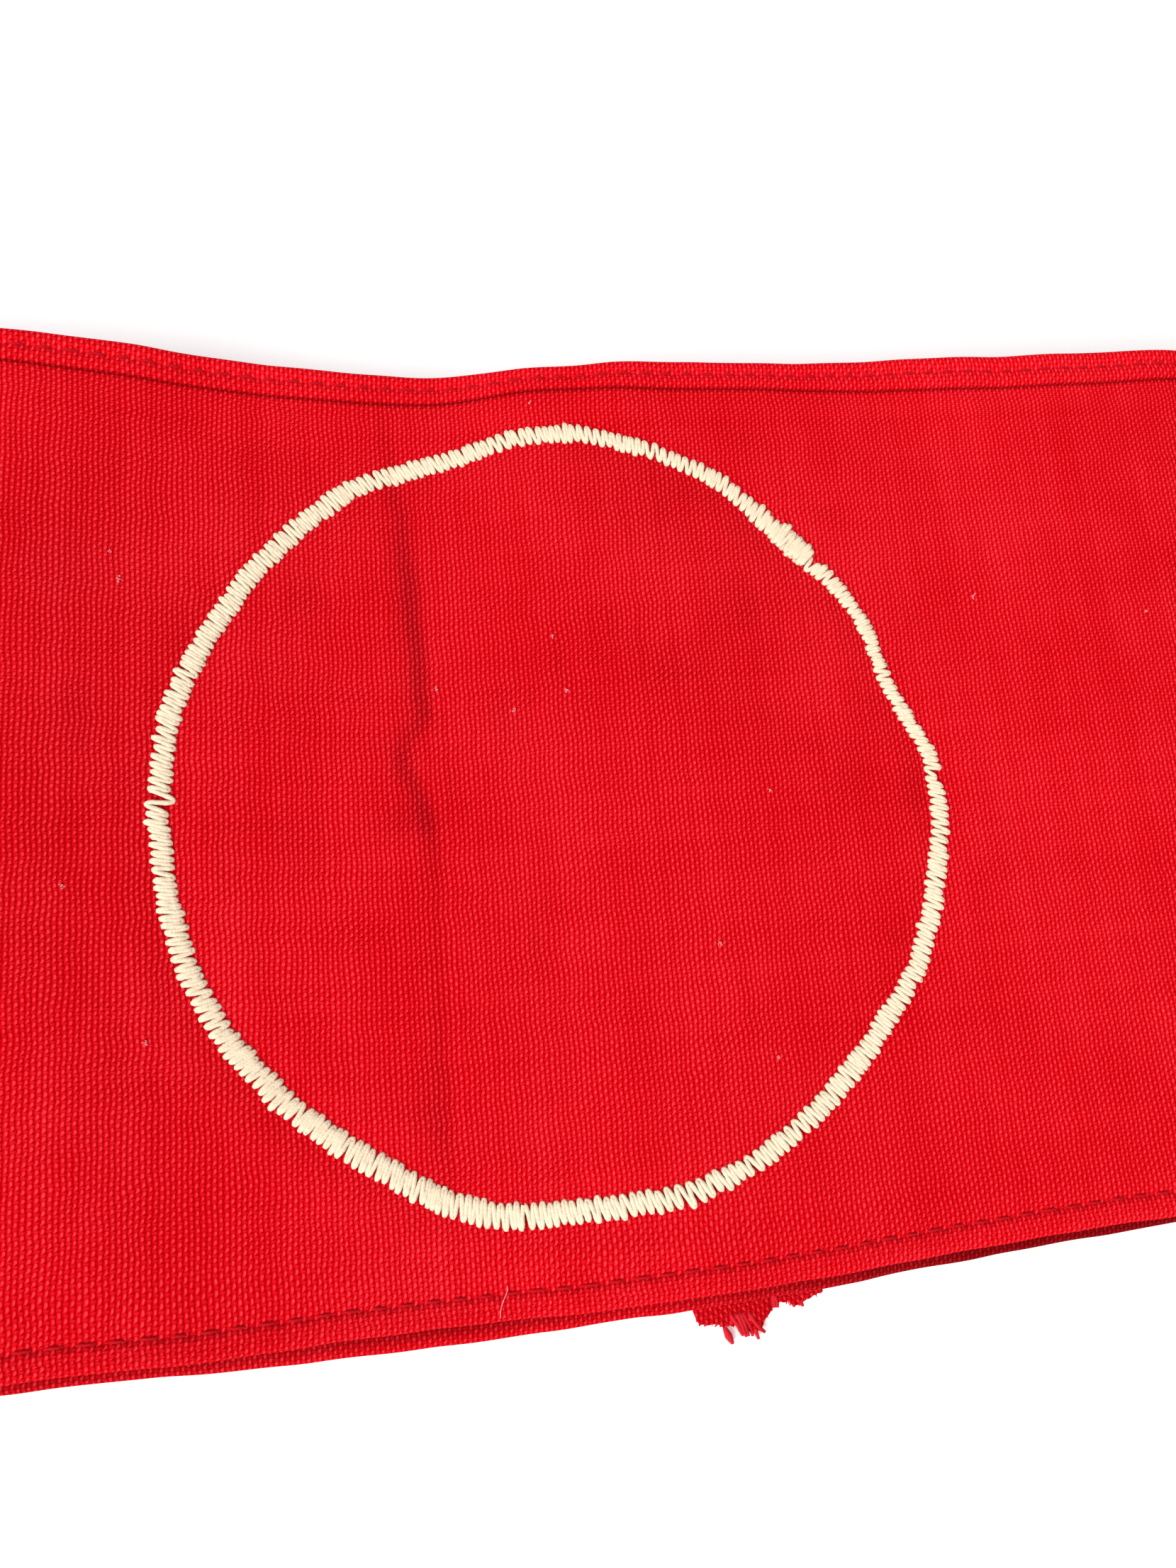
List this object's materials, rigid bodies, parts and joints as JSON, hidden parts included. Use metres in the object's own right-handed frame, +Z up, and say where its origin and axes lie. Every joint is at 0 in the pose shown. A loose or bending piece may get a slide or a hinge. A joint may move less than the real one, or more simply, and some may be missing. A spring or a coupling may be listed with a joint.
{
  "type": "armband",
  "caption": "Wide red woven cotton armband, joined into a loop and lying flattened, with turned hems and a cream zigzag-stitched ring on its reverse.",
  "frame": {"origin": "middle of the flattened loop's outline, at the surface it lies on", "axes": "+X along the flattened loop, to the right in the picture; +Y across the cloth's width, towards the hem folded over the upper layer; +Z up"},
  "size_m": [0.2164, 0.1182, 0.0164],
  "materials": {
    "red_cotton": "matte plain weave",
    "cream_thread": "matte twisted thread",
    "raw_cotton": "matte frayed weave"
  },
  "bodies": {
    "root": {"band_cloth": "red_cotton", "ring_stitching": "cream_thread", "seam_allowance_left": "raw_cotton", "seam_allowance_right": "raw_cotton"}
  },
  "joints": []
}
